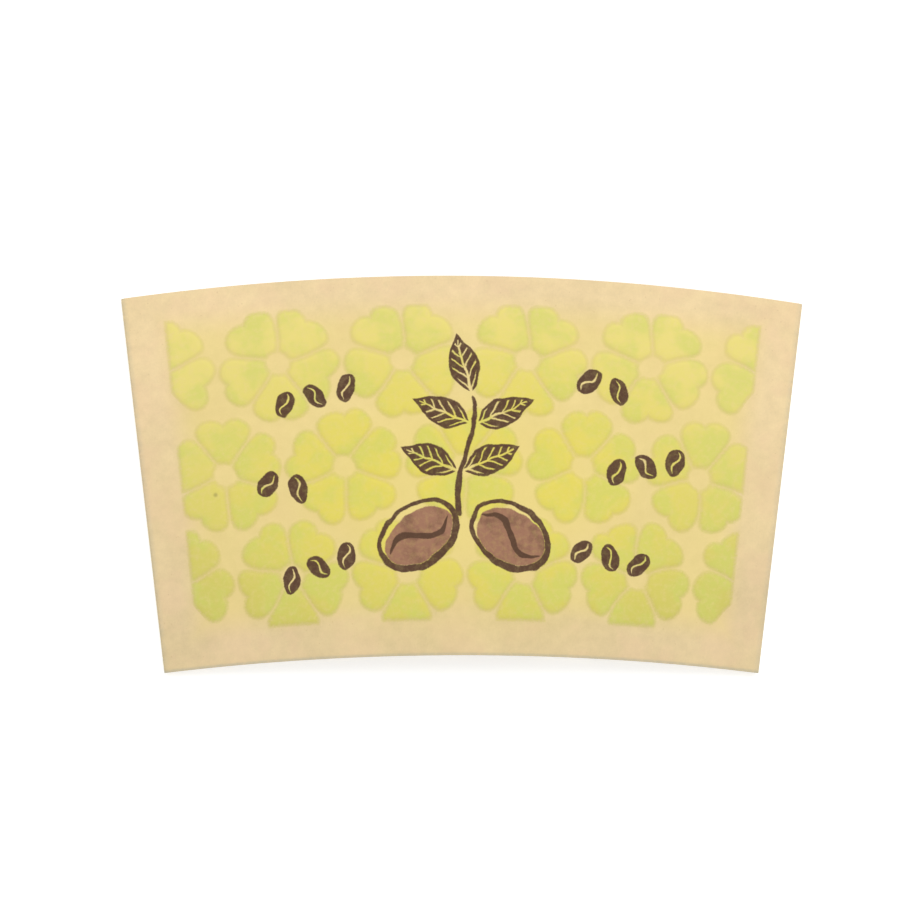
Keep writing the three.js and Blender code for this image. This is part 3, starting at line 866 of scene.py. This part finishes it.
def make_fold_scuff_and_shade_group():
    """Masks of the greyish marks along the two side folds, which are scuffed fibres and painted shade, and
    at the die-cut rim, which is painted shade.
    """
    group, given, result = start_group(
        "Painted fold and rim shade, scuffed folds",
        {"Place": "vector", "Half width": "value", "Half height": "value"},
        {"Fold": "value", "Rim": "value"},
    )
    x, y, _ = parts_of(given["Place"])
    rubbed_and_shade_speckle = speckle(given["Place"], **RUBBED_AND_SHADE_SPECKLE)
    from_fold = abs(abs(x) - (given["Half width"] + FOLD_MIDDLE_PAST_PANEL))
    from_rim = given["Half height"] - abs(y)
    feed(result["Fold"], ramp(from_fold, *FOLD_SCUFF_AND_SHADE_RAMP) * ramp(rubbed_and_shade_speckle, *FOLD_RUBBED_RAMP))
    feed(result["Rim"], ramp(from_rim, *RIM_SHADE_RAMP) * ramp(rubbed_and_shade_speckle, *RIM_SHADE_SPECKLE_RAMP))
    return group


PAPER_GLOSS = 0.3


def new_material(name):
    """An empty material for paper: the material, its node tree and its shader."""
    material = bpy.data.materials.new(name)
    material.use_nodes = True
    tree = material.node_tree
    tree.nodes.clear()
    surface = tree.nodes.new("ShaderNodeBsdfPrincipled")
    output = tree.nodes.new("ShaderNodeOutputMaterial")
    tree.links.new(surface.outputs["BSDF"], output.inputs["Surface"])
    surface.inputs["Specular IOR Level"].default_value = PAPER_GLOSS
    return material, tree, surface


def sheet_place(tree):
    """Where a point lies on the flat sheet, in millimetres."""
    node = tree.nodes.new("ShaderNodeUVMap")
    node.uv_map = SHEET_UV
    return Value(tree, node.outputs["UV"])


def bump(height, distance, strength):
    node = height.tree.nodes.new("ShaderNodeBump")
    node.inputs["Strength"].default_value = strength
    node.inputs["Distance"].default_value = distance
    feed(node.inputs["Height"], height)
    return Value(height.tree, node.outputs["Normal"])


# The printed face, in millimetres on the flat sheet

# Painted shade: the board and the petal ink turn darker from the wide edge to the narrow edge.
LOW_END_SHADE_RAMP = (30.0, -34.0)
FRONT_FADE = 1.0
PRINTED_FIBRE = {"mottling": 0.5, "fibres": 0.1}
# Greyish along the two side folds: scuffed fibres and painted shade.
FOLD_SCUFF_AND_SHADE_SHARE = 0.4
FOLD_SCUFF_AND_SHADE_TINT = (0.5, 0.47, 0.34)
# Painted shade along the die-cut rim, faint at the wide edge and strongest at the narrow edge.
RIM_SHADE_SHARE = 0.05
RIM_SHADE_LOW_SHARE = 0.7
RIM_SHADE_TINT = (0.5, 0.46, 0.34)
# A painted pool of light: the middle of the front panel is tinted yellower, and its petal ink more
# saturated.
GLOW_SHIFT = (0.0, 4.0, 0.0)
GLOW_SQUASH = (0.56, 1.0, 0.0)
GLOW_RAMP = (8.0, 38.0, 1.0, 0.0)
GLOW_SHARE = 0.72
WASH_RAMP = (3.0, -5.0, 0.0, 0.48)
# One yellow tint for the field's printed wash and for the painted light in the middle.
WASH_AND_GLOW_TINT = (0.85, 0.7, 0.2)
GREEN_PATCHES = {"scale": 0.11, "detail": 3.0, "roughness": 0.6}
GREEN_PATCH_RAMP = (0.42, 0.62, 0.0, 0.5)
GREEN_PATCH_TINT = (0.6, 0.64, 0.14)
PETAL_PRINT = {"softness": 0.6, "roughness": 1.1, "thin_places": 0.35}
PETAL_RIM_INSIDE = 0.05
PETAL_RIM_RAMP = (0.1, 0.6, 0.13, 0.0)
PETAL_RIM_TINT = (0.42, 0.33, 0.12)
FILL_CLOUDS = {"scale": 0.24, "detail": 4.0, "roughness": 0.65}
FILL_CLOUD_RAMP = (0.45, 0.68, 0.0, 0.45)
FILL_PRINT = {"softness": 0.16, "roughness": 0.3, "thin_places": 0.12}
LINE_PRINT = {"softness": 0.13, "roughness": 0.25, "thin_places": 0.1}
SPECK_MIDDLE = (-48.2, -3.5, 0.0)
SPECK_RAMP = (0.1, 0.65, 0.4, 0.0)
SPECK_TINT = (0.12, 0.1, 0.05)
BARE_ROUGHNESS = 0.84
INK_SMOOTHING = -0.16


def make_printed_material(groups, colours, plan, petals, sizes):
    """The sleeve's outer face: kraft board, green petals and the brown drawing."""
    material, tree, surface = new_material("kraft_board_printed")
    place = sheet_place(tree)
    x, y, _ = parts_of(place)
    half_width = plan.half_width / MM
    # How much painted shade darkens a place, rising towards the narrow edge.
    low_end_shade = ramp(y, *LOW_END_SHADE_RAMP)
    front = ramp(abs(x), half_width - FRONT_FADE, half_width, 1.0, 0.0)

    def inked(board, ink, distance, softness, roughness, thin_places):
        edge = place_group(groups["edge"], place, distance=distance, softness=softness, roughness=roughness)
        return place_group(groups["ink"], place, board=board, ink=ink, mask=edge["Mask"] * front,
                           thin_places=thin_places)

    board_colour = mixed(low_end_shade, colours.board, colours.board_low_shade)
    kraft = place_group(groups["kraft"], place, colour=board_colour, **PRINTED_FIBRE)
    wear_and_shade = place_group(groups["wear_and_shade"], place, half_width=half_width,
                       half_height=sizes.slant_height / 2 / MM)
    # Greyish along the side folds: scuffed fibres and painted shade.
    worn_and_shaded = mixed(wear_and_shade["Fold"] * FOLD_SCUFF_AND_SHADE_SHARE, kraft["Colour"], FOLD_SCUFF_AND_SHADE_TINT)
    # Painted shade along the die-cut rim, strongest at the narrow edge.
    worn_and_shaded = mixed(wear_and_shade["Rim"] * (low_end_shade * RIM_SHADE_LOW_SHARE + RIM_SHADE_SHARE), worn_and_shaded, RIM_SHADE_TINT)

    # Painted light: an oval pool in the middle of the front panel.
    painted_middle_glow = ramp(maths("LENGTH", (place + GLOW_SHIFT) * GLOW_SQUASH), *GLOW_RAMP)
    wash = ramp(outside_field(petals, x, y), *WASH_RAMP)
    tinted = mixed(larger(wash, painted_middle_glow * GLOW_SHARE) * front, worn_and_shaded, WASH_AND_GLOW_TINT)

    petal_edge = petal_distance(petals, x, y)
    petal_colour = mixed(low_end_shade, colours.petal_ink, colours.petal_ink_low_shade)
    petal_colour = mixed(painted_middle_glow, petal_colour, colours.petal_ink_painted_glow)
    patchy = ramp(speckle(place, **GREEN_PATCHES), *GREEN_PATCH_RAMP)
    petal_colour = mixed(patchy, petal_colour, GREEN_PATCH_TINT)
    green = inked(tinted, petal_colour, petal_edge, **PETAL_PRINT)
    outline = ramp(abs(petal_edge + PETAL_RIM_INSIDE), *PETAL_RIM_RAMP) * front
    outlined = mixed(outline, green["Colour"], PETAL_RIM_TINT)

    drawing = place_group(groups["drawing"], place)
    cloud = ramp(speckle(place, **FILL_CLOUDS), *FILL_CLOUD_RAMP)
    light_ink = mixed(cloud, colours.light_ink, colours.dark_ink)
    light = inked(outlined, light_ink, drawing["Light"], **FILL_PRINT)
    dark = inked(light["Colour"], (*colours.dark_ink, 1.0), drawing["Dark"], **LINE_PRINT)

    speck = ramp(maths("LENGTH", place - SPECK_MIDDLE), *SPECK_RAMP)
    covered = larger(dark["Cover"], larger(light["Cover"], green["Cover"]))
    feed(surface.inputs["Base Color"], mixed(speck, dark["Colour"], SPECK_TINT))
    feed(surface.inputs["Roughness"], covered * INK_SMOOTHING + BARE_ROUGHNESS)
    feed(surface.inputs["Normal"], bump(kraft["Height"], distance=0.04 * MM, strength=0.6))
    return material


PLAIN_SIDE_START = (300.0, 140.0, 0.0)
PLAIN_FIBRE = {"mottling": 0.26, "fibres": 0.08}
CORE_LAYERS = (1 / MM, 1 / MM, 6 / MM)
CORE_FIBRE = {"mottling": 0.35, "fibres": 0.2}


def finish_bare_board(surface, kraft, roughness, grain_strength):
    """Feeds unprinted board to its shader."""
    feed(surface.inputs["Base Color"], kraft["Colour"])
    surface.inputs["Roughness"].default_value = roughness
    feed(surface.inputs["Normal"], bump(kraft["Height"], distance=0.05 * MM, strength=grain_strength))


def make_plain_material(groups, colours):
    """The sleeve's inner face: the same board without print."""
    material, tree, surface = new_material("kraft_board_plain")
    place = sheet_place(tree) + PLAIN_SIDE_START
    # The inner face takes the darker board colour that paints shade at the narrow edge of the outer face.
    kraft = place_group(groups["kraft"], place, colour=(*colours.board_low_shade, 1.0), **PLAIN_FIBRE)
    finish_bare_board(surface, kraft, roughness=0.88, grain_strength=0.7)
    return material


def make_cut_edge_material(groups, colours):
    """The die-cut edge of the board, where its core shows in layers."""
    material, tree, surface = new_material("kraft_board_cut_edge")
    coordinates = Value(tree, tree.nodes.new("ShaderNodeTexCoord").outputs["Object"])
    place = coordinates * CORE_LAYERS
    kraft = place_group(groups["kraft"], place, colour=(*colours.board_core, 1.0), **CORE_FIBRE)
    finish_bare_board(surface, kraft, roughness=0.92, grain_strength=0.8)
    return material


class MESH_OT_cup_sleeve_sheet(bpy.types.Operator):
    """Make the folded, embossed and printed paperboard sheet of the sleeve"""

    bl_idname = "mesh.cup_sleeve_sheet"
    bl_label = "Make sleeve sheet"

    def execute(self, context):
        sizes = context.scene.sleeve_sheet_sizes
        field = context.scene.sleeve_field_sizes
        colours = context.scene.sleeve_colours
        if sizes.wide_edge_width <= sizes.narrow_edge_width:
            raise ValueError("the wide edge has to be wider than the narrow edge")
        mesh = build_sheet_mesh(sizes, field)
        plan = FoldPlan(sizes)
        groups = {
            "kraft": make_kraft_group(),
            "edge": make_print_edge_group(),
            "ink": make_ink_group(),
            "drawing": make_drawing_group(),
            "wear_and_shade": make_fold_scuff_and_shade_group(),
        }
        petals = PetalPlan(sizes, field, plan)
        mesh.materials.append(make_printed_material(groups, colours, plan, petals, sizes))
        mesh.materials.append(make_plain_material(groups, colours))
        mesh.materials.append(make_cut_edge_material(groups, colours))
        sleeve = bpy.data.objects.new("folded_sleeve", mesh)
        context.scene.collection.objects.link(sleeve)
        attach(sleeve, "root")
        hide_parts(CAD_NODE)
        return {"FINISHED"}


FLOOR_GAP = 0.05 * MM
FLOOR_COLOUR = (0.86, 0.87, 0.86, 1.0)
FLOOR_ROUGHNESS = 0.95
FLOOR_GLOW = 0.42
WINDOW_PLACE = (0.3, 0.8, 1.1)
WINDOW_WIDTH = 0.9
AIM_ABOVE_MIDDLE = 1.854 * MM
AIM_HEIGHT = 1.8 * MM
CAMERA_SHIFT = (-0.0153, 0.0179)


def seen_directly(tree):
    """1 for a ray from the camera, also by way of gloss or glass, and 0 for light on the sleeve."""
    outputs = tree.nodes.new("ShaderNodeLightPath").outputs
    camera, gloss, glass = (
        Value(tree, outputs[name]) for name in ("Is Camera Ray", "Is Glossy Ray", "Is Transmission Ray")
    )
    return larger(camera, larger(gloss, glass))


def make_floor(context, width):
    """A pale floor that the camera sees as white, apart from the sleeve's soft shadow."""
    floor_mesh = bmesh.new()
    bmesh.ops.create_grid(floor_mesh, x_segments=1, y_segments=1, size=width / 2)
    bmesh.ops.translate(floor_mesh, verts=floor_mesh.verts[:], vec=(0, 0, -FLOOR_GAP))
    mesh = bpy.data.meshes.new("pale_floor")
    floor_mesh.to_mesh(mesh)
    floor_mesh.free()
    floor = bpy.data.objects.new("pale_floor", mesh)
    context.scene.collection.objects.link(floor)
    material, tree, surface = new_material("pale_floor_paint")
    surface.inputs["Base Color"].default_value = FLOOR_COLOUR
    surface.inputs["Roughness"].default_value = FLOOR_ROUGHNESS
    surface.inputs["Emission Color"].default_value = (1.0, 1.0, 1.0, 1.0)
    feed(surface.inputs["Emission Strength"], seen_directly(tree) * FLOOR_GLOW)
    mesh.materials.append(material)


def make_window_lamp(context, power):
    """One wide, soft lamp that looks at the sleeve from beyond its wide edge."""
    light = bpy.data.lights.new("window_lamp", "AREA")
    light.shape = "SQUARE"
    light.size = WINDOW_WIDTH
    light.energy = power
    lamp = bpy.data.objects.new("window_lamp", light)
    lamp.location = WINDOW_PLACE
    lamp.rotation_euler = (-Vector(WINDOW_PLACE)).to_track_quat("-Z", "Y").to_euler()
    context.scene.collection.objects.link(lamp)


def make_world(context, strength):
    """Even light from all round, which the camera sees as white."""
    world = bpy.data.worlds.new("even_light")
    context.scene.world = world
    world.use_nodes = True
    tree = world.node_tree
    tree.nodes.clear()
    background = tree.nodes.new("ShaderNodeBackground")
    output = tree.nodes.new("ShaderNodeOutputWorld")
    tree.links.new(background.outputs["Background"], output.inputs["Surface"])
    background.inputs["Color"].default_value = (1.0, 1.0, 1.0, 1.0)
    feed(background.inputs["Strength"], seen_directly(tree) * (1.0 - strength) + strength)


def make_camera(context, settings):
    """Looks straight down on the front panel, with the small tilt of the photograph."""
    aim = Vector((0.0, (cad_lowest.y + cad_highest.y) / 2 + AIM_ABOVE_MIDDLE, AIM_HEIGHT))
    tilt = (Matrix.Rotation(settings.camera_roll, 3, "Z") @ Matrix.Rotation(settings.camera_yaw, 3, "Y")
            @ Matrix.Rotation(settings.camera_pitch, 3, "X")).transposed()
    data = bpy.data.cameras.new("view_camera")
    data.sensor_width = 36.0
    data.lens = settings.camera_lens
    data.shift_x, data.shift_y = CAMERA_SHIFT
    data.clip_start = 0.01
    data.clip_end = 20.0
    camera = bpy.data.objects.new("view_camera", data)
    place = aim + tilt @ Vector((0, 0, settings.camera_distance))
    camera.matrix_world = Matrix.Translation(place) @ tilt.to_4x4()
    context.scene.collection.objects.link(camera)
    context.scene.camera = camera


class SCENE_OT_cup_sleeve_stage(bpy.types.Operator):
    """Make the floor, the window lamp, the even light and the camera"""

    bl_idname = "scene.cup_sleeve_stage"
    bl_label = "Make stage"

    def execute(self, context):
        settings = context.scene.sleeve_stage_settings
        make_floor(context, settings.floor_width)
        make_world(context, settings.sky_strength)
        make_window_lamp(context, settings.window_strength)
        make_camera(context, settings)
        context.scene.view_settings.view_transform = "Standard"
        return {"FINISHED"}


class VIEW3D_PT_cup_sleeve(bpy.types.Panel):
    """Lists the sleeve's sizes and colours and the buttons that make it"""

    bl_idname = "VIEW3D_PT_cup_sleeve"
    bl_label = "Cup sleeve"
    bl_space_type = "VIEW_3D"
    bl_region_type = "UI"
    bl_category = "Cup Sleeve"

    def draw(self, context):
        layout = self.layout
        scene = context.scene
        for title, group in (
            ("Sheet", scene.sleeve_sheet_sizes),
            ("Petals", scene.sleeve_field_sizes),
            ("Colours", scene.sleeve_colours),
            ("Stage", scene.sleeve_stage_settings),
        ):
            box = layout.box()
            box.label(text=title)
            for name in group.__annotations__:
                box.prop(group, name)
        layout.operator(MESH_OT_cup_sleeve_sheet.bl_idname)
        layout.operator(SCENE_OT_cup_sleeve_stage.bl_idname)


SCENE_SETTINGS = {
    "sleeve_sheet_sizes": SleeveSheetSizes,
    "sleeve_field_sizes": SleeveFieldSizes,
    "sleeve_colours": SleeveColours,
    "sleeve_stage_settings": SleeveStageSettings,
}
CLASSES = (
    *SCENE_SETTINGS.values(),
    MESH_OT_cup_sleeve_sheet,
    SCENE_OT_cup_sleeve_stage,
    VIEW3D_PT_cup_sleeve,
)


def register():
    for entry in CLASSES:
        bpy.utils.register_class(entry)
    for name, group in SCENE_SETTINGS.items():
        setattr(bpy.types.Scene, name, PointerProperty(type=group))


def unregister():
    for name in SCENE_SETTINGS:
        delattr(bpy.types.Scene, name)
    for entry in reversed(CLASSES):
        bpy.utils.unregister_class(entry)


def main():
    register()
    bpy.ops.mesh.cup_sleeve_sheet()
    bpy.ops.scene.cup_sleeve_stage()


if __name__ == "__main__":
    main()
